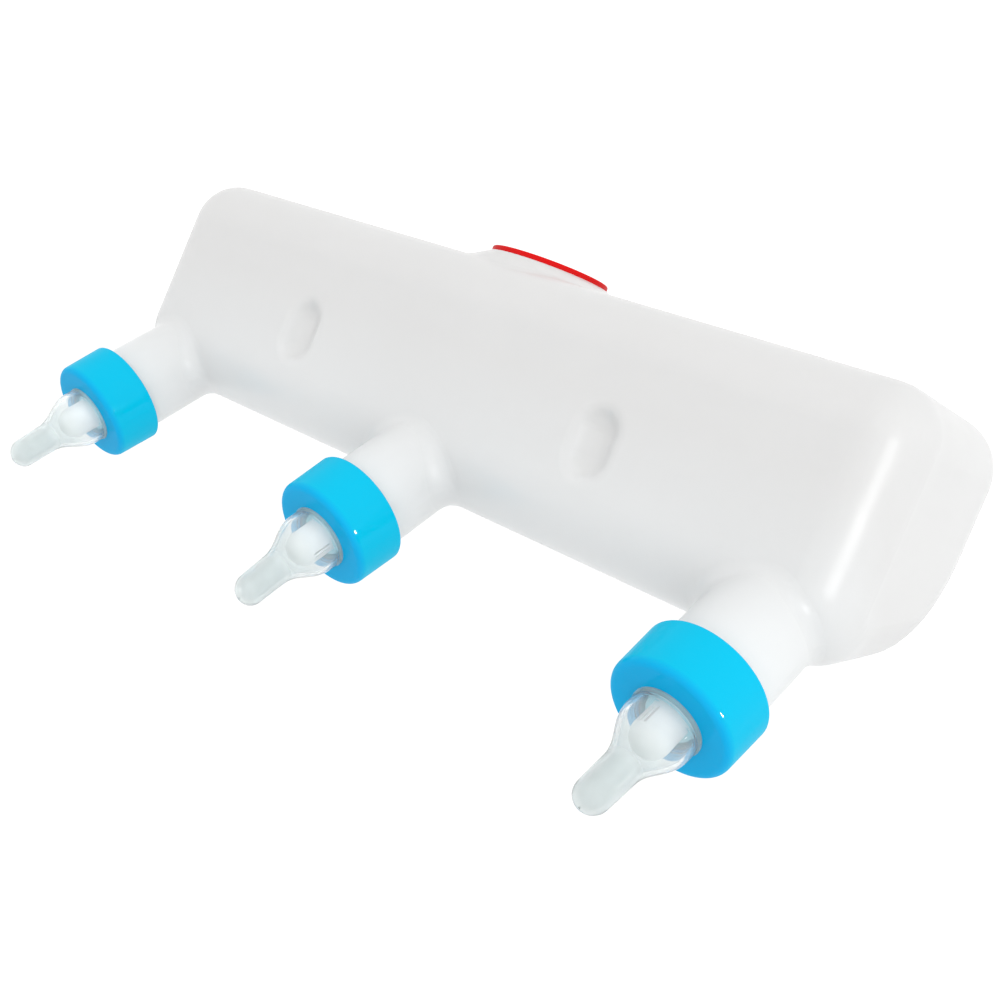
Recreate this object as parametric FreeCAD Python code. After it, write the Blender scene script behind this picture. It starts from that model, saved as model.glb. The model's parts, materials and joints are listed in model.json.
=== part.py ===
"""Three-teat calf feeding bottle.

A long hollow tank carries three teats on screw necks along its lower front edge and a filler plug on top.
Millimetres, +Z up. The origin is the middle of the flat back panel: +X runs along the tank and the teats
face -Y. Every solid is one physical piece and is written to parts/NODE.step.
"""
import FreeCAD
import Part
import math
import os

Vector = FreeCAD.Vector

# ---- tank ----
TANK_LENGTH = 407.5
TANK_DEPTH = 106.0
BACK_BOTTOM_Z = -55.2           # corner of the back panel and the bottom, before rounding
FRONT_BOTTOM_Z = -79.3          # the bottom falls to the front, so the last milk drains to the necks
FRONT_TOP_Z = 30.7
BACK_TOP_Z = 38.3
FRONT_BOTTOM_RADIUS = 27.0
FRONT_TOP_RADIUS = 23.0
BACK_TOP_RADIUS = 23.0
BACK_BOTTOM_RADIUS = 52.0
END_RADIUS = 21.0
TANK_WALL = 2.0

# ---- stiffening dimples in the front face ----
DIMPLE_RADIUS = 12.0
DIMPLE_DEPTH = 4.8
DIMPLE_STRAIGHT = 10.0
DIMPLE_Z = -27.5
DIMPLE_RIM_RADIUS = 8.0

# ---- screw necks; distances along a neck count outwards from the back rim of its ring ----
NECK_SPACING = 173.5
NECK_ANGLE = 46.0               # below horizontal, towards the front
NECK_ORIGIN_Y = -117.5
NECK_ORIGIN_Z = -88.5
NECK_RADIUS = 20.8
NECK_THREAD_ROOT = 20.0
NECK_THREAD_CREST = 21.6
NECK_BORE = 17.2
NECK_LIP = 16.0
NECK_THREAD_START = 4.0
NECK_THREAD_TURNS = 2.5
NECK_SHOULDER = 1.5
NECK_ROOT_DEPTH = 52.0
NECK_BLEND = 9.0

# ---- thread form shared by the rings and the plug ----
PITCH = 4.0
RIDGE_BASE = 2.2
RIDGE_TOP = 1.0
RIDGE_BITE = 0.3                # how far a ridge is sunk into the wall that carries it

# ---- screw ring ----
RING_RADIUS = 25.0
RING_FRONT_RADIUS = 24.4
RING_HEIGHT = 22.0
RING_BORE = 22.0
RING_THREAD_CREST = 20.45
RING_FRONT_WALL = 3.0
RING_HOLE = 13.2
RING_EDGE = 3.0
RING_BACK_EDGE = 0.6
RING_HOLE_EDGE = 0.8
RING_THREAD_TURNS = 2.5
FACE_GAP = 0.05                 # between flat faces that turn or lift against each other

# ---- teat ----
FLANGE_RADIUS = 20.1
FLANGE_TOP = RING_HEIGHT - RING_FRONT_WALL - FACE_GAP
FLANGE_BOTTOM = NECK_LIP + FACE_GAP
TEAT_THROAT = 12.9              # where the teat passes the ring's hole
TEAT_BASE_RADIUS = 13.6
TEAT_BASE_START = 23.6
TEAT_BASE_END = 26.5
TEAT_STEM_START = 47.0
TEAT_SHOULDER_EASE = 0.4
TEAT_STEM_RADIUS = 6.8
TEAT_TIP_RADIUS = 6.5
TEAT_TIP = 65.7
TEAT_WALL = 1.9
TEAT_TIP_WALL = 2.4
TEAT_HOLE = 0.8

# ---- non-return valve in each teat ----
DISC_RADIUS = 18.4
DISC_THICKNESS = 1.2
DISC_RECESS_GAP = 0.1
HUB_RADIUS = 9.5
HUB_TOP = 20.8
CAGE_RADIUS = 7.4
CAGE_WALL = 1.2
CAGE_TIP = 37.7
CAGE_SLITS = 3                  # in each of two groups, on opposite sides of the cage
CAGE_SLIT_WIDTH = 0.8
CAGE_SLIT_STEP = 14.0           # degrees from one slit of a group to the next
CAGE_SLIT_START = 23.0
CAGE_SLIT_END = 31.0
CAGE_TURNS = {"left": 125.0, "middle": -12.0, "right": 115.0}   # degrees; nothing keys a cage in its seat
SNAP_GAP = 0.03
SEAT_TOP = 25.0
SEAT_HOLE = 3.0
BALL_RADIUS = 4.0
BALL_GAP = 0.1

# ---- filler mouth and plug; heights count from the sloping top face, square to it ----
FILLER_Y = -61.0
BOSS_HEIGHT = 5.0
BOSS_TOP_RADIUS = 27.8
BOSS_ROOT_DEPTH = 12.0
BOSS_ROOT_ALONG = 75.0          # half-width of the boss's oval root along the tank
BOSS_ROOT_ACROSS = 41.0
BOSS_BLEND = 9.0
THROAT_RADIUS = 22.6
THROAT_THREAD_CREST = 21.05
THROAT_OUTER = 25.4
THROAT_DEPTH = 15.0
THROAT_THREAD_START = -8.9
THROAT_THREAD_TURNS = 2.25
PLUG_FLANGE_RADIUS = 27.4
PLUG_FLANGE = 2.4
PLUG_RADIUS = 20.6
PLUG_THREAD_CREST = 22.2
PLUG_DEPTH = 8.0
PLUG_FLOOR = 2.2
PLUG_POCKET = 17.2
GRIP_WIDTH = 5.0
GRIP_DROP = 1.0
PLUG_THREAD_TURNS = 2.0
VENT_HOLE = 1.2
VENT_OFFSET = 9.0
PLUG_EDGE = 0.9
GASKET_INNER = 23.2
GASKET_OUTER = 26.0
GASKET_THICKNESS = 1.2
GASKET_GAP = 0.3                # round the gasket in its groove

# ---- working sizes ----
OVERCUT = 1.0                   # how far a cutter runs past what it cuts, or a search stays inside a root
SAME = 0.01                     # two lengths nearer than this are the same
BAND = 0.1                      # half-width of a search for edges on a cylinder
EDGE_SAMPLES = 7

UP = Vector(0, 0, 1)
TOP_SLOPE = math.atan2(BACK_TOP_Z - FRONT_TOP_Z, TANK_DEPTH)


def rounded_outline(corners, radii, inset):
    """Closed YZ wire of a convex outline (counter-clockwise), moved inwards by inset, with round corners."""
    count = len(corners)
    lines = []
    for i in range(count):
        start = Vector(0, *corners[i])
        along = (Vector(0, *corners[(i + 1) % count]) - start).normalize()
        inwards = Vector(1, 0, 0).cross(along)
        lines.append((start + inwards * inset, along))
    points = []
    for i in range(count):
        before, along_before = lines[i - 1]
        here, along_here = lines[i]
        sine = along_before.cross(along_here).x
        reach = (here - before).cross(along_here).x / sine
        points.append(before + along_before * reach)
    edges = []
    last_end = None
    first_start = None
    for i in range(count):
        along_in = lines[i - 1][1]
        along_out = lines[i][1]
        radius = radii[i] - inset
        half_turn = along_in.getAngle(along_out) / 2
        setback = radius * math.tan(half_turn)
        arc_start = points[i] - along_in * setback
        arc_end = points[i] + along_out * setback
        to_centre = (along_out - along_in).normalize()
        arc_middle = points[i] + to_centre * (radius / math.cos(half_turn) - radius)
        if last_end is None:
            first_start = arc_start
        else:
            edges.append(Part.makeLine(last_end, arc_start))
        edges.append(Part.Arc(arc_start, arc_middle, arc_end).toShape())
        last_end = arc_end
    edges.append(Part.makeLine(last_end, first_start))
    return Part.Wire(edges)


def tank_block(inset):
    """The tank's rounded body, shrunk by inset on every side."""
    corners = [
        (-TANK_DEPTH, FRONT_BOTTOM_Z),
        (0.0, BACK_BOTTOM_Z),
        (0.0, BACK_TOP_Z),
        (-TANK_DEPTH, FRONT_TOP_Z),
    ]
    radii = [FRONT_BOTTOM_RADIUS, BACK_BOTTOM_RADIUS, BACK_TOP_RADIUS, FRONT_TOP_RADIUS]
    outline = rounded_outline(corners, radii, inset)
    half = TANK_LENGTH / 2 - inset
    outline.translate(Vector(-half, 0, 0))
    block = Part.Face(outline).extrude(Vector(2 * half, 0, 0))
    rims = [edge for edge in block.Edges if edge.BoundBox.XLength < SAME]
    return block.makeFillet(END_RADIUS - inset, rims)


def tube(radius, start, end):
    return Part.makeCylinder(radius, end - start, Vector(0, 0, start), UP)


def capsule(radius, straight, centre):
    """A vertical rod with round ends."""
    foot = centre - UP * (straight / 2)
    head = centre + UP * (straight / 2)
    rod = Part.makeCylinder(radius, straight, foot, UP)
    return rod.fuse([Part.makeSphere(radius, foot), Part.makeSphere(radius, head)]).removeSplitter()


def dimple_tools(extra):
    """Capsules that press the two dimples into the front face, grown by extra for the wall behind them."""
    stand_off = DIMPLE_RADIUS - DIMPLE_DEPTH
    tools = []
    for side in (-0.5, 0.5):
        centre = Vector(side * NECK_SPACING, -TANK_DEPTH - stand_off, DIMPLE_Z)
        tools.append(capsule(DIMPLE_RADIUS + extra, DIMPLE_STRAIGHT, centre))
    return tools


def ridge(wall_radius, crest_radius, start, turns):
    """A right-hand thread ridge round +Z on a wall, on its inside when the crest is the smaller radius."""
    out = math.copysign(1.0, crest_radius - wall_radius)
    foot = wall_radius - out * RIDGE_BITE
    section = Part.makePolygon([
        Vector(foot, 0, start - RIDGE_BASE / 2),
        Vector(crest_radius, 0, start - RIDGE_TOP / 2),
        Vector(crest_radius, 0, start + RIDGE_TOP / 2),
        Vector(foot, 0, start + RIDGE_BASE / 2),
        Vector(foot, 0, start - RIDGE_BASE / 2),
    ])
    helix = Part.makeHelix(PITCH, PITCH * turns, foot)
    helix.translate(UP * start)
    return Part.Wire(helix.Edges).makePipeShell([section], True, True)


def revolved(edges):
    """Solid of revolution round +Z from a closed loop of edges in the XZ plane."""
    return Part.Face(Part.Wire(edges)).revolve(Vector(0, 0, 0), UP, 360)


def loop(points):
    """Straight edges through (radius, distance) points."""
    corners = [Vector(radius, 0, distance) for radius, distance in points]
    return [Part.makeLine(a, b) for a, b in zip(corners, corners[1:])]


def neck_frame(x):
    """Places a part built round +Z on the neck at x, pointing out of the tank."""
    lean = FreeCAD.Rotation(Vector(1, 0, 0), 90 + NECK_ANGLE)
    return FreeCAD.Placement(Vector(x, NECK_ORIGIN_Y, NECK_ORIGIN_Z), lean)


def filler_frame():
    """Places a part built round +Z on the sloping top face."""
    slope = math.tan(TOP_SLOPE)
    foot = Vector(0, FILLER_Y, FRONT_TOP_Z + (TANK_DEPTH + FILLER_Y) * slope)
    return FreeCAD.Placement(foot, FreeCAD.Rotation(Vector(1, 0, 0), math.degrees(TOP_SLOPE)))


def placed(shape, frame):
    copy = shape.copy()
    copy.Placement = frame.multiply(copy.Placement)
    return copy


def edges_near(shape, frame, radius_low, radius_high, low, high):
    """Edges that lie wholly within a band of radii and heights about a frame's axis."""
    inverse = frame.inverse()
    found = []
    for edge in shape.Edges:
        points = [inverse.multVec(point) for point in edge.discretize(EDGE_SAMPLES)]
        radii = [math.hypot(point.x, point.y) for point in points]
        if min(radii) < radius_low or max(radii) > radius_high:
            continue
        if min(point.z for point in points) < low or max(point.z for point in points) > high:
            continue
        found.append(edge)
    return found


def shell_outside(neck_frames, top_frame):
    """The tank's outer skin as a solid: body, necks, filler boss and dimples, with their soft blends."""
    stems = [placed(tube(NECK_RADIUS, -NECK_ROOT_DEPTH, NECK_SHOULDER), frame) for frame in neck_frames]
    outside = tank_block(0.0).fuse(stems).removeSplitter()
    joins = []
    low, high = NECK_RADIUS - BAND, NECK_RADIUS + BAND
    for frame in neck_frames:
        joins += edges_near(outside, frame, low, high, OVERCUT - NECK_ROOT_DEPTH, 0.0)
    outside = outside.makeFillet(NECK_BLEND, joins)

    outside = outside.fuse(placed(filler_boss(0.0), top_frame)).removeSplitter()
    low, high = OVERCUT - BOSS_ROOT_DEPTH, BOSS_HEIGHT - OVERCUT
    joins = edges_near(outside, top_frame, BOSS_TOP_RADIUS, BOSS_ROOT_ALONG, low, high)
    outside = outside.makeFillet(BOSS_BLEND, joins)

    outside = outside.cut(dimple_tools(0.0))
    rims = [edge for edge in outside.Edges if on_dimple_rim(edge)]
    return outside.makeFillet(DIMPLE_RIM_RADIUS, rims)


def filler_boss(inset):
    """Low boss round the filler mouth: round at the top, and a long oval where it sinks into the tank."""
    rim = Part.Circle(UP * (BOSS_HEIGHT - inset), UP, BOSS_TOP_RADIUS - inset)
    root_centre = UP * (-BOSS_ROOT_DEPTH - inset)
    along = root_centre + Vector(BOSS_ROOT_ALONG - inset, 0, 0)
    across = root_centre + Vector(0, BOSS_ROOT_ACROSS - inset, 0)
    root = Part.Ellipse(along, across, root_centre)
    return Part.makeLoft([Part.Wire(rim.toShape()), Part.Wire(root.toShape())], True)


def on_dimple_rim(edge):
    """True for an edge in the front face's plane and within a dimple's width."""
    box = edge.BoundBox
    in_face = abs(box.YMin + TANK_DEPTH) < SAME and box.YLength < SAME
    beside = abs(abs(box.Center.x) - NECK_SPACING / 2) < DIMPLE_RADIUS
    return in_face and beside and box.XLength < 2 * DIMPLE_RADIUS


def make_tank(neck_frames, top_frame):
    cavity = tank_block(TANK_WALL).fuse(placed(filler_boss(TANK_WALL), top_frame))
    cavity = cavity.cut(dimple_tools(TANK_WALL))
    body = shell_outside(neck_frames, top_frame).cut(cavity)
    body = body.fuse(placed(tube(THROAT_OUTER, -THROAT_DEPTH, BOSS_HEIGHT - OVERCUT), top_frame))
    body = body.fuse([placed(tube(NECK_THREAD_ROOT, 0, NECK_LIP), frame) for frame in neck_frames])
    holes = [placed(tube(NECK_BORE, -NECK_ROOT_DEPTH, NECK_LIP + OVERCUT), frame) for frame in neck_frames]
    holes.append(placed(tube(THROAT_RADIUS, -THROAT_DEPTH - OVERCUT, BOSS_HEIGHT + OVERCUT), top_frame))
    body = body.cut(holes)
    neck_ridge = ridge(NECK_THREAD_ROOT, NECK_THREAD_CREST, NECK_THREAD_START, NECK_THREAD_TURNS)
    ridges = [placed(neck_ridge, frame) for frame in neck_frames]
    throat_ridge = ridge(THROAT_RADIUS, THROAT_THREAD_CREST, THROAT_THREAD_START, THROAT_THREAD_TURNS)
    ridges.append(placed(throat_ridge, top_frame))
    return body.fuse(ridges)


def make_ring():
    """Screw ring: a cup with a hole in its front wall for the teat, and a thread inside its skirt."""
    wall = Part.makeCone(RING_RADIUS, RING_FRONT_RADIUS, RING_HEIGHT)
    front = [edge for edge in wall.Edges if edge.BoundBox.ZMin > RING_HEIGHT - SAME]
    wall = wall.makeFillet(RING_EDGE, front)
    back = [edge for edge in wall.Edges if edge.BoundBox.ZMax < SAME]
    wall = wall.makeFillet(RING_BACK_EDGE, back)
    wall = wall.cut(tube(RING_BORE, -OVERCUT, RING_HEIGHT - RING_FRONT_WALL))
    wall = wall.cut(tube(RING_HOLE, 0, RING_HEIGHT + OVERCUT))
    front = [edge for edge in wall.Edges if edge.BoundBox.ZMin > RING_HEIGHT - SAME]
    lip = [edge for edge in front if edge.BoundBox.XLength < 2 * RING_HOLE + SAME]
    wall = wall.makeFillet(RING_HOLE_EDGE, lip)
    start = NECK_THREAD_START + PITCH / 2
    return wall.fuse(ridge(RING_BORE, RING_THREAD_CREST, start, RING_THREAD_TURNS))


def make_teat():
    """Hollow silicone teat: a flange under the ring's front wall, a broad base, a stem and a pierced tip."""
    outer = [Vector(radius, 0, distance) for radius, distance in (
        (FLANGE_RADIUS, FLANGE_BOTTOM),
        (FLANGE_RADIUS, FLANGE_TOP),
        (TEAT_THROAT, FLANGE_TOP),
        (TEAT_THROAT, RING_HEIGHT),
        (TEAT_BASE_RADIUS, TEAT_BASE_START),
        (TEAT_BASE_RADIUS, TEAT_BASE_END),
    )]
    edges = [Part.makeLine(a, b) for a, b in zip(outer, outer[1:])]
    edges += stem_outline(0.0, TEAT_TIP)
    inner_tip = TEAT_TIP - TEAT_TIP_WALL
    edges.append(Part.makeLine(Vector(0, 0, TEAT_TIP), Vector(0, 0, inner_tip)))
    edges += [edge_reversed(edge) for edge in reversed(stem_outline(TEAT_WALL, inner_tip))]
    recess = NECK_LIP + FACE_GAP + DISC_THICKNESS + DISC_RECESS_GAP
    inner = [Vector(radius, 0, distance) for radius, distance in (
        (TEAT_BASE_RADIUS - TEAT_WALL, TEAT_BASE_END),
        (TEAT_BASE_RADIUS - TEAT_WALL, TEAT_BASE_START),
        (TEAT_THROAT - TEAT_WALL, RING_HEIGHT),
        (TEAT_THROAT - TEAT_WALL, recess),
        (DISC_RADIUS + DISC_RECESS_GAP, recess),
        (DISC_RADIUS + DISC_RECESS_GAP, FLANGE_BOTTOM),
        (FLANGE_RADIUS, FLANGE_BOTTOM),
    )]
    edges += [Part.makeLine(a, b) for a, b in zip(inner, inner[1:])]
    teat = revolved(edges)
    return teat.cut(tube(TEAT_HOLE, inner_tip - OVERCUT, TEAT_TIP + OVERCUT))


def stem_outline(wall, tip):
    """Edges from the top of the teat's base to its tip, a wall's thickness in from the outside."""
    base = Vector(TEAT_BASE_RADIUS - wall, 0, TEAT_BASE_END)
    stem = Vector(TEAT_STEM_RADIUS - wall, 0, TEAT_STEM_START)
    reach = (TEAT_STEM_START - TEAT_BASE_END) * TEAT_SHOULDER_EASE
    shoulder = Part.BezierCurve()
    shoulder.setPoles([base, base + UP * reach, stem - UP * reach, stem])
    radius = TEAT_TIP_RADIUS - wall
    shore = Vector(radius, 0, tip - radius)
    crown = Vector(radius * math.sin(math.pi / 4), 0, tip - radius * (1 - math.cos(math.pi / 4)))
    return [
        shoulder.toShape(),
        Part.makeLine(stem, shore),
        Part.Arc(shore, crown, Vector(0, 0, tip)).toShape(),
    ]


def edge_reversed(edge):
    copy = edge.copy()
    copy.reverse()
    return copy


def make_valve_seat():
    """Disc clamped under the teat, with a hub for the cage and a raised seat for the ball."""
    bottom = NECK_LIP + FACE_GAP
    face = bottom + DISC_THICKNESS
    return revolved(loop([
        (SEAT_HOLE, bottom),
        (DISC_RADIUS, bottom),
        (DISC_RADIUS, face),
        (HUB_RADIUS, face),
        (HUB_RADIUS, HUB_TOP),
        (CAGE_RADIUS + SNAP_GAP, HUB_TOP),
        (CAGE_RADIUS + SNAP_GAP, face),
        (CAGE_RADIUS - CAGE_WALL - SNAP_GAP, face),
        (CAGE_RADIUS - CAGE_WALL - SNAP_GAP, SEAT_TOP),
        (SEAT_HOLE, SEAT_TOP),
        (SEAT_HOLE, bottom),
    ]))


def make_valve_cage(turn):
    """Bullet-shaped cage over the ball; its two groups of fine slits are turned by turn degrees."""
    foot = NECK_LIP + FACE_GAP + DISC_THICKNESS
    shoulder = CAGE_TIP - CAGE_RADIUS
    outside = tube(CAGE_RADIUS, foot, shoulder).fuse(Part.makeSphere(CAGE_RADIUS, UP * shoulder))
    inner_radius = CAGE_RADIUS - CAGE_WALL
    inside = tube(inner_radius, foot - OVERCUT, shoulder).fuse(Part.makeSphere(inner_radius, UP * shoulder))
    cage = outside.removeSplitter().cut(inside.removeSplitter())
    length = 2 * (CAGE_RADIUS + OVERCUT)
    corner = Vector(-length / 2, -CAGE_SLIT_WIDTH / 2, CAGE_SLIT_START)
    slit = Part.makeBox(length, CAGE_SLIT_WIDTH, CAGE_SLIT_END - CAGE_SLIT_START, corner)
    for i in range(CAGE_SLITS):
        cutter = slit.copy()
        cutter.rotate(Vector(0, 0, 0), UP, turn + (i - (CAGE_SLITS - 1) / 2) * CAGE_SLIT_STEP)
        cage = cage.cut(cutter)
    return cage


def make_valve_ball():
    """The ball lies in the end of the cage, where an empty valve leaves it."""
    centre = CAGE_TIP - CAGE_WALL - BALL_RADIUS - BALL_GAP
    return Part.makeSphere(BALL_RADIUS, UP * centre)


def make_plug():
    """Filler plug: a flange on the boss, a threaded cup in the throat and a bar across it to turn it by."""
    under = BOSS_HEIGHT + FACE_GAP
    top = under + PLUG_FLANGE
    flange = tube(PLUG_FLANGE_RADIUS, under, top)
    rim = [edge for edge in flange.Edges if edge.BoundBox.ZMin > top - SAME]
    flange = flange.makeFillet(PLUG_EDGE, rim)
    groove_top = under + GASKET_THICKNESS + FACE_GAP
    groove = tube(GASKET_OUTER + GASKET_GAP, under - OVERCUT, groove_top)
    groove = groove.cut(tube(GASKET_INNER - GASKET_GAP, under - 2 * OVERCUT, groove_top + OVERCUT))
    flange = flange.cut(groove)
    plug = flange.fuse(tube(PLUG_RADIUS, -PLUG_DEPTH, top - PLUG_EDGE))
    pocket = tube(PLUG_POCKET, -PLUG_DEPTH + PLUG_FLOOR, top + OVERCUT)
    bar = Part.makeBox(
        2 * (PLUG_POCKET + OVERCUT), GRIP_WIDTH, PLUG_DEPTH + top - GRIP_DROP,
        Vector(-PLUG_POCKET - OVERCUT, -GRIP_WIDTH / 2, -PLUG_DEPTH),
    )
    plug = plug.cut(pocket.cut(bar))
    vent = tube(VENT_HOLE, -PLUG_DEPTH - OVERCUT, -PLUG_DEPTH + PLUG_FLOOR + OVERCUT)
    plug = plug.cut(vent.translated(Vector(0, VENT_OFFSET, 0)))
    start = THROAT_THREAD_START + PITCH / 2
    return plug.fuse(ridge(PLUG_RADIUS, PLUG_THREAD_CREST, start, PLUG_THREAD_TURNS))


def make_gasket():
    under = BOSS_HEIGHT + FACE_GAP
    top = under + GASKET_THICKNESS
    return tube(GASKET_OUTER, under, top).cut(tube(GASKET_INNER, under - OVERCUT, top + OVERCUT))


def main():
    sides = {"left": -NECK_SPACING, "middle": 0.0, "right": NECK_SPACING}
    frames = {side: neck_frame(x) for side, x in sides.items()}
    top = filler_frame()
    solids = {"tank": make_tank(list(frames.values()), top)}
    builders = {
        "ring": make_ring,
        "teat": make_teat,
        "valve_seat": make_valve_seat,
        "valve_ball": make_valve_ball,
    }
    for name, builder in builders.items():
        shape = builder()
        for side, frame in frames.items():
            solids[name + "_" + side] = placed(shape, frame)
    for side, frame in frames.items():
        solids["valve_cage_" + side] = placed(make_valve_cage(CAGE_TURNS[side]), frame)
    solids["filler_plug"] = placed(make_plug(), top)
    solids["filler_gasket"] = placed(make_gasket(), top)

    os.makedirs("parts", exist_ok=True)
    for node, shape in solids.items():
        shape.exportStep("parts/" + node + ".step")
        print(node, shape.isValid(), len(shape.Solids), round(shape.Volume / 1000, 2), "cm3")


main()
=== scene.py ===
"""Visual model of the three-teat calf feeding bottle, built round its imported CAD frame.

Metres, +Z up, in the frame of the CAD: the origin is the middle of the flat back panel, +X runs along the
tank and the teats face -Y. The hard mouldings are the CAD nodes, each with a material. The silicone teats
are rebuilt here as fine lathed meshes, because they are soft and detailed.
"""
import json
import math

import bmesh
import bpy
from mathutils import Matrix, Vector


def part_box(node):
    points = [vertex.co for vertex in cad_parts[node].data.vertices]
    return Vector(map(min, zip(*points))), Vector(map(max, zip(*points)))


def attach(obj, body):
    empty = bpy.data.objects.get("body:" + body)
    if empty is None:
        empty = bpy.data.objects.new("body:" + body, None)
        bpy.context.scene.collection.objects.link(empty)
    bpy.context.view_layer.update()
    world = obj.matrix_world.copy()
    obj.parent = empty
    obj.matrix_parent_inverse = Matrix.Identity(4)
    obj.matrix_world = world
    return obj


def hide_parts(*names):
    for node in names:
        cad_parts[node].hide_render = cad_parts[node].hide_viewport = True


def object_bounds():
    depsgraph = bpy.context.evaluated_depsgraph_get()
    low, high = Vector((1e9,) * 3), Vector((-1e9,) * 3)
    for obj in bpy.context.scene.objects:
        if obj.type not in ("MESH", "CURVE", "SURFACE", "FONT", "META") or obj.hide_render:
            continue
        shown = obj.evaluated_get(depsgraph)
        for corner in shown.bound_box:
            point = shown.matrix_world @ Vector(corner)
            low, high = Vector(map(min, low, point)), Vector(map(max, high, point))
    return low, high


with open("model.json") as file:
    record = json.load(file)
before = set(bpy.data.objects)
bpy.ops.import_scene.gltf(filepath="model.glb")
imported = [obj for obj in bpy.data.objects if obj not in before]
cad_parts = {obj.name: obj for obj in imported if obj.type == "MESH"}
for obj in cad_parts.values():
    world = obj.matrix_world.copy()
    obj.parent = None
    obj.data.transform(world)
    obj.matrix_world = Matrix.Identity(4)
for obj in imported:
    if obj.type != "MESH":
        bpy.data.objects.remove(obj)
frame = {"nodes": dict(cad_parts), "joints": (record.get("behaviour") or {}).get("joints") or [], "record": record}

MM = 0.001
CAD_LOW, CAD_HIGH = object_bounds()
SIDES = ("left", "middle", "right")

# ---- camera ----
CAMERA_PLACE = Vector((0.3519, -0.5041, -0.0463))
CAMERA_AIM = Vector((-0.0044, -0.0217, -0.0653))
CAMERA_ROLL = math.radians(22.8)
CAMERA_LENS = 45.05
CAMERA_SENSOR = 36.0
CAMERA_CLIP = (0.01, 200.0)

# ---- studio ----
FLOOR_DROP = 0.30               # the bottle hangs on a wall or rail, so the floor is well below the teats
FLOOR_HALF = 30.0
WORLD_HORIZON = 1.3             # strength of the white surroundings, level with the bottle
WORLD_ZENITH = 1.02             # and straight above it
FILL_COLOUR = (0.86, 0.97, 1.0)
# name: azimuth and elevation in degrees, distance, width and height in metres, watts;
# azimuth 0 is in front of the bottle (-Y) and 90 at its right end (+X)
LIGHTS = {
    "key": (44, 32, 2.0, 1.6, 1.6, 15.0),
    "fill": (95, 12, 2.0, 1.6, 1.6, 3.0),
    "strip": (50, 4, 1.6, 0.6, 0.44, 6.0),
    "spot": (92, 14, 1.6, 0.16, 0.16, 50.0),
    "glint": (106, 8, 1.6, 0.08, 0.08, 1.2),
}

# ---- teats; distances along a neck count outwards from the back rim of its ring, as in the CAD ----
FLANGE_RADIUS = 20.05 * MM
FLANGE_BOTTOM = 16.08 * MM
FLANGE_TOP = 18.92 * MM
FLANGE_EDGE = 0.5 * MM
RECESS_RADIUS = 18.5 * MM       # the valve's disc sits in it
RECESS_TOP = 17.4 * MM
THROAT_RADIUS = 13.23 * MM      # pressed into the ring's hole, so the blue shows through
SEAT_RADIUS = 14.0 * MM         # the base rolls out over the rounded edge of the ring's hole
SEAT_BOTTOM = 21.2 * MM
SEAT_TOP = 21.97 * MM
LIP = 0.3 * MM
BASE_RADIUS = 13.6 * MM
BASE_START = 22.7 * MM
BASE_END = 26.5 * MM
RIB_HEIGHT = 0.22 * MM          # fine rolls round the base, from mean to peak
RIB_PITCH = 1.5 * MM
STEM_START = 47.0 * MM
STEM_RADIUS = 6.75 * MM
TIP_RADIUS = 6.45 * MM
TIP_END = 65.65 * MM
SHOULDER_EASE = 0.4
WALL = 1.9 * MM
TIP_WALL = 2.4 * MM
HOLE_RADIUS = 0.25 * MM
HOLE_LIP = 0.3 * MM
TEAT_SEGMENTS = 96
CURVE_STEPS = 24
BEND_START = 30.0 * MM
TEAT_BENDS = {"left": 2.2 * MM, "middle": 2.1 * MM, "right": -0.9 * MM}   # how far soft tips lean along X
SHARP_ANGLE = math.radians(50)

# ---- colours: each pair is the darker and the lighter tone of a faint mottle ----
FLOOR_TONES = ((0.92, 0.92, 0.92), (0.94, 0.94, 0.94))
# painted light: the second tank pair, lighter and bluer, is laid on towards the necks and the lower front in place
# of light through the wall
TANK_PLAIN_TONES = ((0.555, 0.553, 0.550), (0.565, 0.563, 0.560))
TANK_PAINTED_LIGHT_TONES = ((0.612, 0.626, 0.630), (0.622, 0.636, 0.640))
# painted shade: the ring's front face takes a deeper blue than its grip wall, though both are one plastic
RING_WALL_LIT_TONES = ((0.0, 0.400, 0.605), (0.0, 0.416, 0.625))
RING_FACE_PAINTED_SHADE_TONES = ((0.0, 0.318, 0.604), (0.0, 0.334, 0.624))
WHITE_TONES = ((0.95, 0.94, 0.94), (0.97, 0.96, 0.96))
# painted blue light: a teal for the white valve seats, in place of the light that reaches them through the blue
# rings
SEAT_PAINTED_BLUE_LIGHT_TONES = ((0.34, 0.70, 0.80), (0.38, 0.74, 0.83))
RED_TONES = ((0.50, 0.001, 0.001), (0.56, 0.002, 0.002))
RUBBER_TONES = ((0.02, 0.02, 0.02), (0.035, 0.035, 0.035))
HAZE_TONES = ((0.94, 0.94, 0.94), (1.0, 1.0, 1.0))
LEFT_TEAT_PAINTED_LIGHT = 1.07               # painted light: the teats' colour is scaled up towards the left, by this much at the left teat

# ---- finishes: roughness, fine grain depth, broad wave depth, specular level, coat weight ----
TANK_FINISH = (0.31, 0.01 * MM, 0.06 * MM, 0.5, 0.0)
RING_FINISH = (0.25, 0.006 * MM, 0.03 * MM, 0.0, 0.22)
WHITE_FINISH = (0.35, 0.008 * MM, 0.03 * MM, 0.5, 0.0)
RED_FINISH = (0.25, 0.01 * MM, 0.04 * MM, 0.0, 0.25)
RUBBER_FINISH = (0.6, 0.02 * MM, 0.03 * MM, 0.5, 0.0)
COAT_ROUGHNESS = 0.05
GLOSS_CHANGE = 0.07             # how far roughness wanders either way, as a share of itself
FLOOR_ROUGHNESS = 0.9
TANK_GLOW = 0.35                # share of light that scatters inside the milky wall
TANK_GLOW_DEPTH = 6.0 * MM

# ---- distances along a neck where the tank's painted light and the rings' painted shade fade in ----
TANK_LIGHT_FADE = (-65.0 * MM, -10.0 * MM)
RING_SHADE_FADE = (19.0 * MM, 21.5 * MM)
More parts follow.
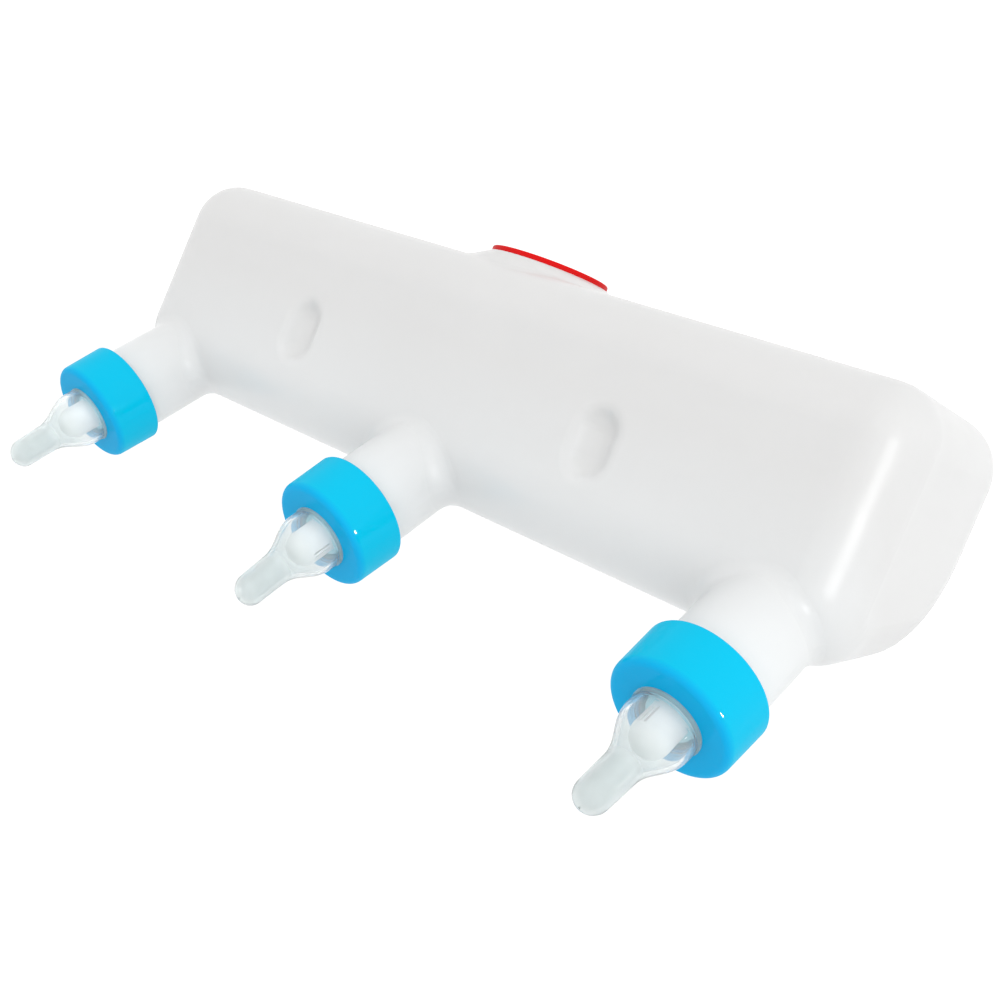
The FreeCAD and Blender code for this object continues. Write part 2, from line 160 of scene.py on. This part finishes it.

# ---- silicone between the flange (0) and the tip (1) ----
# painted blue light: the teal stops by the flange and seat stand in for the ring's blue light in the silicone; the
# later stops are its own milky tone
SILICONE_TINT_AND_RING_LIGHT = (
    (0.0, (0.30, 0.74, 0.86)),
    (0.085, (0.36, 0.78, 0.89)),
    (0.12, (0.66, 0.90, 0.95)),
    (0.145, (0.88, 0.96, 0.975)),
    (0.17, (0.96, 0.975, 0.975)),
    (0.30, (0.915, 0.94, 0.94)),
    (0.48, (0.83, 0.875, 0.875)),
    (0.62, (0.735, 0.785, 0.785)),
    (1.0, (0.74, 0.785, 0.785)),
)
SILICONE_CLARITY = ((0.0, 0.30), (0.10, 0.45), (0.13, 0.80), (0.18, 0.88),
                    (0.48, 0.82), (0.60, 0.66), (1.0, 0.56))
SILICONE_IOR = 1.22
SILICONE_ROUGHNESS = (0.04, 0.08)

# ---- noise scales, in cells per metre, and bump depths ----
FLOOR_MOTTLE = 3.0
TANK_MOTTLE = 9.0
PLASTIC_MOTTLE = 14.0
BROAD_WAVES = 28.0
UNEVEN_GLOSS = 60.0
CLOUDS = 140.0
SILICONE_WAVES = 220.0
SILICONE_GLOSS = 300.0
FINE_GRAIN = 1500.0
SILICONE_WAVE_DEPTH = 0.03 * MM


def make_camera():
    data = bpy.data.cameras.new("camera")
    data.sensor_width = CAMERA_SENSOR
    data.lens = CAMERA_LENS
    data.clip_start, data.clip_end = CAMERA_CLIP
    camera = bpy.data.objects.new("camera", data)
    bpy.context.scene.collection.objects.link(camera)
    facing = (CAMERA_AIM - CAMERA_PLACE).to_track_quat("-Z", "Y").to_matrix().to_4x4()
    roll = Matrix.Rotation(CAMERA_ROLL, 4, "Z")
    camera.matrix_world = Matrix.Translation(CAMERA_PLACE) @ facing @ roll
    bpy.context.scene.camera = camera


def area_light(name, target):
    """Soft box that faces the target, from the direction, distance, size and power in LIGHTS."""
    azimuth, elevation, distance, width, height, watts = LIGHTS[name]
    data = bpy.data.lights.new(name, "AREA")
    data.shape = "RECTANGLE"
    data.size = width
    data.size_y = height
    data.energy = watts
    light = bpy.data.objects.new(name, data)
    bpy.context.scene.collection.objects.link(light)
    a = math.radians(azimuth)
    e = math.radians(elevation)
    away = Vector((math.sin(a) * math.cos(e), -math.cos(a) * math.cos(e), math.sin(e)))
    light.location = target + away * distance
    light.rotation_euler = (-away).to_track_quat("-Z", "Y").to_euler()
    return light


def gleam_only(light, pieces):
    """Keeps a small bright light to the highlights that it makes on these pieces."""
    lit = bpy.data.collections.new(light.name + "_pieces")
    for piece in pieces:
        lit.objects.link(piece)
    light.light_linking.receiver_collection = lit
    light.visible_diffuse = False


def make_world():
    """White surroundings, a little brighter near the horizon."""
    bpy.context.scene.view_settings.view_transform = "Standard"
    world = bpy.data.worlds.new("studio")
    world.use_nodes = True
    sky = world.node_tree
    background = sky.nodes["Background"]
    background.inputs["Color"].default_value = (1.0, 1.0, 1.0, 1.0)
    direction = sky.nodes.new("ShaderNodeTexCoord")
    parts = sky.nodes.new("ShaderNodeSeparateXYZ")
    sky.links.new(direction.outputs["Generated"], parts.inputs["Vector"])
    fade = spread(sky, parts.outputs["Z"], WORLD_HORIZON, WORLD_ZENITH, start=0.0, end=1.0)
    sky.links.new(fade, background.inputs["Strength"])
    bpy.context.scene.world = world


def make_lights(teats):
    """Two broad boxes shape the object; the small ones only make highlights on the pieces they are for."""
    centre = (CAD_LOW + CAD_HIGH) / 2
    front_right = Vector((CAD_HIGH.x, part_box("tank")[0].y, centre.z))
    key = area_light("key", centre)
    key.visible_glossy = False
    fill = area_light("fill", centre)
    fill.data.color = FILL_COLOUR
    fill.visible_glossy = False
    strip = area_light("strip", front_right)
    strip.data.shape = "ELLIPSE"
    gleam_only(strip, [frame["nodes"]["tank"]])
    spot = area_light("spot", centre)
    gleam_only(spot, [frame["nodes"]["ring_" + side] for side in SIDES])
    glint = area_light("glint", centre)
    gleam_only(glint, teats)


def make_floor():
    mesh = bpy.data.meshes.new("floor")
    z = CAD_LOW.z - FLOOR_DROP
    corners = [(-FLOOR_HALF, -FLOOR_HALF, z), (FLOOR_HALF, -FLOOR_HALF, z),
               (FLOOR_HALF, FLOOR_HALF, z), (-FLOOR_HALF, FLOOR_HALF, z)]
    mesh.from_pydata(corners, [], [(0, 1, 2, 3)])
    floor = bpy.data.objects.new("floor", mesh)
    bpy.context.scene.collection.objects.link(floor)
    mesh.materials.append(floor_material())


# ---- materials ----

def new_material(name):
    """A material with its node tree, its Principled shader and a texture coordinate node."""
    material = bpy.data.materials.new(name)
    material.use_nodes = True
    tree = material.node_tree
    return material, tree, tree.nodes["Principled BSDF"], tree.nodes.new("ShaderNodeTexCoord")


def noise(tree, coords, scale, detail=2.0):
    node = tree.nodes.new("ShaderNodeTexNoise")
    node.inputs["Scale"].default_value = scale
    node.inputs["Detail"].default_value = detail
    tree.links.new(coords.outputs["Object"], node.inputs["Vector"])
    return node.outputs["Fac"]


def spread(tree, value, low, high, start=0.3, end=0.7):
    """Maps a texture's start..end onto low..high."""
    node = tree.nodes.new("ShaderNodeMapRange")
    node.inputs["From Min"].default_value = start
    node.inputs["From Max"].default_value = end
    node.inputs["To Min"].default_value = low
    node.inputs["To Max"].default_value = high
    tree.links.new(value, node.inputs["Value"])
    return node.outputs["Result"]


def two_tone(tree, value, tones):
    """Fades from the darker to the lighter tone across the middle of a texture's range."""
    ramp = tree.nodes.new("ShaderNodeValToRGB")
    for element, place, tone in zip(ramp.color_ramp.elements, (0.32, 0.68), tones):
        element.position = place
        element.color = (*tone, 1.0)
    tree.links.new(value, ramp.inputs["Fac"])
    return ramp.outputs["Color"]


def bump(tree, height, distance, below=None):
    node = tree.nodes.new("ShaderNodeBump")
    node.inputs["Distance"].default_value = distance
    node.inputs["Strength"].default_value = 1.0
    tree.links.new(height, node.inputs["Height"])
    if below is not None:
        tree.links.new(below, node.inputs["Normal"])
    return node.outputs["Normal"]


def floor_material():
    material, tree, shader, coords = new_material("studio_floor")
    mottle = two_tone(tree, noise(tree, coords, FLOOR_MOTTLE), FLOOR_TONES)
    tree.links.new(mottle, shader.inputs["Base Color"])
    shader.inputs["Roughness"].default_value = FLOOR_ROUGHNESS
    return material


def along_neck(tree, coords, start, end):
    """0 at distance start along the necks and 1 at distance end, for pieces at their rest place."""
    neck = NECKS["middle"]
    dot = tree.nodes.new("ShaderNodeVectorMath")
    dot.operation = "DOT_PRODUCT"
    dot.inputs[1].default_value = neck["axis"]
    tree.links.new(coords.outputs["Object"], dot.inputs[0])
    origin = neck["origin"].dot(neck["axis"])
    return spread(tree, dot.outputs["Value"], 0.0, 1.0, start=origin + start, end=origin + end)


def fade_between(tree, factor, first, second):
    """Mixes two colours."""
    node = tree.nodes.new("ShaderNodeMix")
    node.data_type = "RGBA"
    tree.links.new(factor, node.inputs["Factor"])
    tree.links.new(first, node.inputs["A"])
    tree.links.new(second, node.inputs["B"])
    return node.outputs["Result"]


def moulded_skin(tree, shader, coords, finish):
    """A fine skin grain over broad unevenness, with slightly uneven gloss."""
    roughness, grain, waviness, specular, coat = finish
    gloss = noise(tree, coords, UNEVEN_GLOSS, detail=5.0)
    smoother, rougher = roughness * (1 - GLOSS_CHANGE), roughness * (1 + GLOSS_CHANGE)
    tree.links.new(spread(tree, gloss, smoother, rougher), shader.inputs["Roughness"])
    broad = bump(tree, noise(tree, coords, BROAD_WAVES), waviness)
    fine = bump(tree, noise(tree, coords, FINE_GRAIN, detail=3.0), grain, below=broad)
    tree.links.new(fine, shader.inputs["Normal"])
    shader.inputs["Specular IOR Level"].default_value = specular
    shader.inputs["Coat Weight"].default_value = coat
    shader.inputs["Coat Roughness"].default_value = COAT_ROUGHNESS


def moulded_plastic(name, tones, finish):
    """Coloured moulded plastic or rubber with faint mottling."""
    material, tree, shader, coords = new_material(name)
    mottle = noise(tree, coords, PLASTIC_MOTTLE, detail=4.0)
    tree.links.new(two_tone(tree, mottle, tones), shader.inputs["Base Color"])
    moulded_skin(tree, shader, coords, finish)
    return material


def ring_plastic(name):
    """Glossy blue plastic, with painted shade: a deeper blue on the ring's front face than on its slender grip
    wall.
    """
    material, tree, shader, coords = new_material(name)
    mottle = noise(tree, coords, PLASTIC_MOTTLE, detail=4.0)
    wall = two_tone(tree, mottle, RING_WALL_LIT_TONES)
    face = two_tone(tree, mottle, RING_FACE_PAINTED_SHADE_TONES)
    fade = along_neck(tree, coords, *RING_SHADE_FADE)
    tree.links.new(fade_between(tree, fade, wall, face), shader.inputs["Base Color"])
    moulded_skin(tree, shader, coords, RING_FINISH)
    return material


def blow_moulded(name):
    """Milky polyethylene tank, with painted light: lighter and bluer towards the necks and the lower front, in
    place of light through the wall.
    """
    material, tree, shader, coords = new_material(name)
    mottle = noise(tree, coords, TANK_MOTTLE, detail=3.0)
    tank_plain = two_tone(tree, mottle, TANK_PLAIN_TONES)
    tank_painted_light = two_tone(tree, mottle, TANK_PAINTED_LIGHT_TONES)
    fade = along_neck(tree, coords, *TANK_LIGHT_FADE)
    tree.links.new(fade_between(tree, fade, tank_plain, tank_painted_light), shader.inputs["Base Color"])
    moulded_skin(tree, shader, coords, TANK_FINISH)
    shader.inputs["Subsurface Weight"].default_value = TANK_GLOW
    shader.inputs["Subsurface Scale"].default_value = TANK_GLOW_DEPTH
    shader.inputs["Subsurface Radius"].default_value = (1.0, 1.0, 1.0)
    return material


def stops(tree, factor, places):
    """A smooth ramp through (place, colour) stops."""
    ramp = tree.nodes.new("ShaderNodeValToRGB")
    ramp.color_ramp.interpolation = "B_SPLINE"
    elements = ramp.color_ramp.elements
    while len(elements) < len(places):
        elements.new(0.5)
    for element, (place, colour) in zip(elements, places):
        element.position = place
        element.color = (*colour, 1.0)
    tree.links.new(factor, ramp.inputs["Fac"])
    return ramp.outputs["Color"]


def silicone(name):
    """Milky clear silicone: dense in the bulky seat, clear over the valve and dense again in the stem; its teal
    near the flange is painted blue light, and it is painted lighter towards the left teat.
    """
    material, tree, shader, coords = new_material(name)
    along = along_neck(tree, coords, FLANGE_BOTTOM, TIP_END)
    tint_and_ring_light = stops(tree, along, SILICONE_TINT_AND_RING_LIGHT)
    haze = two_tone(tree, noise(tree, coords, CLOUDS, detail=4.0), HAZE_TONES)
    place = tree.nodes.new("ShaderNodeSeparateXYZ")
    tree.links.new(coords.outputs["Object"], place.inputs["Vector"])
    # painted light: the colour is scaled up towards the left teat
    left, right = NECKS["left"]["origin"].x, NECKS["right"]["origin"].x
    left_painted_light = spread(tree, place.outputs["X"], LEFT_TEAT_PAINTED_LIGHT, 1.0, start=left, end=right)
    scaled = tree.nodes.new("ShaderNodeVectorMath")
    scaled.operation = "SCALE"
    tree.links.new(haze, scaled.inputs[0])
    tree.links.new(left_painted_light, scaled.inputs["Scale"])
    product = tree.nodes.new("ShaderNodeMix")
    product.data_type = "RGBA"
    product.blend_type = "MULTIPLY"
    product.inputs["Factor"].default_value = 1.0
    tree.links.new(tint_and_ring_light, product.inputs["A"])
    tree.links.new(scaled.outputs["Vector"], product.inputs["B"])
    tree.links.new(product.outputs["Result"], shader.inputs["Base Color"])
    clear = stops(tree, along, [(stop, (clarity,) * 3) for stop, clarity in SILICONE_CLARITY])
    tree.links.new(clear, shader.inputs["Transmission Weight"])
    gloss = noise(tree, coords, SILICONE_GLOSS)
    tree.links.new(spread(tree, gloss, *SILICONE_ROUGHNESS), shader.inputs["Roughness"])
    shader.inputs["IOR"].default_value = SILICONE_IOR
    waves = bump(tree, noise(tree, coords, SILICONE_WAVES), SILICONE_WAVE_DEPTH)
    tree.links.new(waves, shader.inputs["Normal"])
    return material


def make_materials():
    """One material for each slot of the record, and one painted teal with blue light for the valve seats."""
    return {
        "milky_plastic": blow_moulded("milky_polyethylene"),
        "blue_plastic": ring_plastic("blue_polypropylene"),
        "clear_silicone": silicone("clear_silicone"),
        "white_plastic": moulded_plastic("white_polypropylene", WHITE_TONES, WHITE_FINISH),
        "seat_painted_blue_light": moulded_plastic("polypropylene_painted_blue_light", SEAT_PAINTED_BLUE_LIGHT_TONES, WHITE_FINISH),
        "red_plastic": moulded_plastic("red_polypropylene", RED_TONES, RED_FINISH),
        "gasket_rubber": moulded_plastic("gasket_rubber", RUBBER_TONES, RUBBER_FINISH),
    }


def dress_cad_nodes(materials):
    """Gives every CAD node its material; the valve seats get a teal tone of painted blue light, in place of the
    light through their rings.
    """
    for entry in frame["record"]["subparts"]:
        node = frame["nodes"][entry["node"]]
        # painted blue light: the valve seats take the teal material in place of the light through their rings
        shade = "seat_painted_blue_light" if entry["node"].startswith("valve_seat_") else entry["material_slot"]
        node.data.materials.clear()
        node.data.materials.append(materials[shade])


# ---- teats ----

def arc(radius, distance, size, start, end):
    """(radius, distance) points round a centre; 0 degrees is away from the axis and 90 towards the tip."""
    points = []
    for i in range(CURVE_STEPS + 1):
        turn = math.radians(start + (end - start) * i / CURVE_STEPS)
        points.append((radius + size * math.cos(turn), distance + size * math.sin(turn)))
    return points


def shoulder(inset):
    """The S-shaped slope from the base to the stem, inset from the outside."""
    reach = (STEM_START - BASE_END) * SHOULDER_EASE
    first, last = BASE_RADIUS - inset, STEM_RADIUS - inset
    points = []
    for i in range(CURVE_STEPS + 1):
        t = i / CURVE_STEPS
        weights = ((1 - t) ** 3, 3 * t * (1 - t) ** 2, 3 * t * t * (1 - t), t ** 3)
        radius = first * (weights[0] + weights[1]) + last * (weights[2] + weights[3])
        stations = (BASE_END, BASE_END + reach, STEM_START - reach, STEM_START)
        points.append((radius, sum(w * d for w, d in zip(weights, stations))))
    return points


def ribbed_base():
    """The base between its lip and the shoulder, with rolls that die out towards the shoulder."""
    points = []
    count = CURVE_STEPS * 2
    for i in range(count):
        along = i / count
        distance = BASE_START + (BASE_END - BASE_START) * along
        wave = math.cos(2 * math.pi * (distance - BASE_START) / RIB_PITCH)
        points.append((BASE_RADIUS + RIB_HEIGHT * (wave - 1) * (1 - along), distance))
    return points


def teat_section():
    """Closed (radius, distance) outline of the teat's wall."""
    edge = FLANGE_EDGE
    outside = arc(FLANGE_RADIUS - edge, FLANGE_BOTTOM + edge, edge, -90, 0)
    outside += arc(FLANGE_RADIUS - edge, FLANGE_TOP - edge, edge, 0, 90)
    outside += arc(THROAT_RADIUS + edge, FLANGE_TOP + edge, edge, 270, 180)
    outside += arc(SEAT_RADIUS, SEAT_BOTTOM, SEAT_TOP - SEAT_BOTTOM, 180, 90)
    outside += arc(SEAT_RADIUS - LIP, SEAT_TOP + LIP, LIP, 0, 90)
    outside += ribbed_base() + shoulder(0.0)
    tip_turn = 90 - math.degrees(math.asin((HOLE_RADIUS + HOLE_LIP) / TIP_RADIUS))
    outside += arc(0.0, TIP_END - TIP_RADIUS, TIP_RADIUS, 0, tip_turn)
    outside.append((HOLE_RADIUS, TIP_END - HOLE_LIP))
    inner = TIP_RADIUS - WALL
    inner_turn = 90 - math.degrees(math.asin(HOLE_RADIUS / inner))
    inside = [(BASE_RADIUS - WALL, BASE_START + WALL)] + shoulder(WALL)
    inside += arc(0.0, TIP_END - TIP_WALL - inner, inner, 0, inner_turn)
    throat = [(THROAT_RADIUS - WALL, BASE_START), (THROAT_RADIUS - WALL, RECESS_TOP),
              (RECESS_RADIUS, RECESS_TOP), (RECESS_RADIUS, FLANGE_BOTTOM)]
    return outside + list(reversed(inside)) + throat


def make_teat(side, material):
    """Soft teat in place on its neck, leaning a little, as soft tips do."""
    neck = NECKS[side]
    across = Vector((1.0, 0.0, 0.0))
    upright = neck["axis"].cross(across)
    section = teat_section()
    vertices = []
    for radius, distance in section:
        lean = max(0.0, distance - BEND_START) / (TIP_END - BEND_START)
        centre = neck["origin"] + neck["axis"] * distance + across * TEAT_BENDS[side] * lean ** 2
        for i in range(TEAT_SEGMENTS):
            turn = 2 * math.pi * i / TEAT_SEGMENTS
            vertices.append(centre + (across * math.cos(turn) + upright * math.sin(turn)) * radius)
    faces = []
    for row in range(len(section)):
        here, there = row * TEAT_SEGMENTS, (row + 1) % len(section) * TEAT_SEGMENTS
        for i in range(TEAT_SEGMENTS):
            j = (i + 1) % TEAT_SEGMENTS
            faces.append((here + i, here + j, there + j, there + i))
    mesh = bpy.data.meshes.new("soft_teat_" + side)
    mesh.from_pydata(vertices, [], faces)
    work = bmesh.new()
    work.from_mesh(mesh)
    bmesh.ops.recalc_face_normals(work, faces=work.faces)
    work.to_mesh(mesh)
    work.free()
    mesh.shade_smooth()
    mesh.set_sharp_from_angle(angle=SHARP_ANGLE)
    mesh.materials.append(material)
    teat = bpy.data.objects.new("soft_teat_" + side, mesh)
    bpy.context.scene.collection.objects.link(teat)
    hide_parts("teat_" + side)
    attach(teat, "teat_" + side)
    return teat


def read_necks():
    """Each neck's origin and axis, from the hinge that its ring turns on."""
    necks = {}
    for joint in frame["joints"]:
        for side in SIDES:
            if joint["name"] == "ring_turn_" + side:
                necks[side] = {"origin": Vector(joint["pos_m"]), "axis": Vector(joint["axis"]).normalized()}
    return necks


NECKS = read_necks()
make_camera()
materials = make_materials()
dress_cad_nodes(materials)
make_world()
make_lights([make_teat(side, materials["clear_silicone"]) for side in SIDES])
make_floor()
